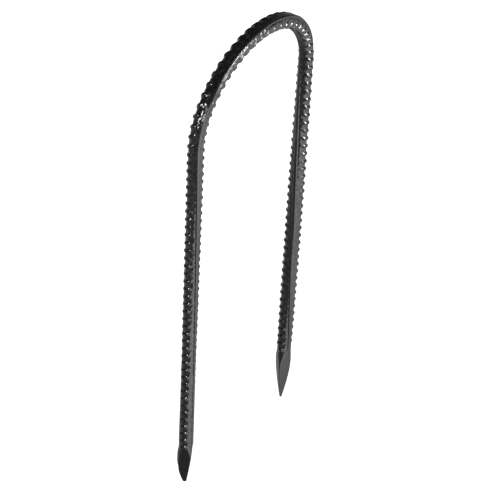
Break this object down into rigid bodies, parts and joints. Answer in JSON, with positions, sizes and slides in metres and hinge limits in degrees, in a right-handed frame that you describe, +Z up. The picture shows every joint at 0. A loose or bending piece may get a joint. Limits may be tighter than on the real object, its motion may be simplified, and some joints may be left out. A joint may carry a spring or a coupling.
{
  "type": "tent stake",
  "caption": "U-shaped ground stake bent from one ribbed steel bar with a glossy black coating, with a half-round crown and a forged point on each leg.",
  "frame": {"origin": "at the level of the lower tip, midway between the legs in X and on the bar's centre line in Y, where the stake is driven into the ground", "axes": "+Z up the legs towards the crown, +X across the two legs towards the longer one, +Y along the bend's axis, through the gap between the legs"},
  "size_m": [0.1346, 0.0122, 0.4069],
  "materials": {
    "black_coating": "glossy black coating over ribbed steel bar"
  },
  "bodies": {
    "root": {"crown": "black_coating", "left_leg": "black_coating", "right_leg": "black_coating", "left_point": "black_coating", "right_point": "black_coating"}
  },
  "joints": []
}
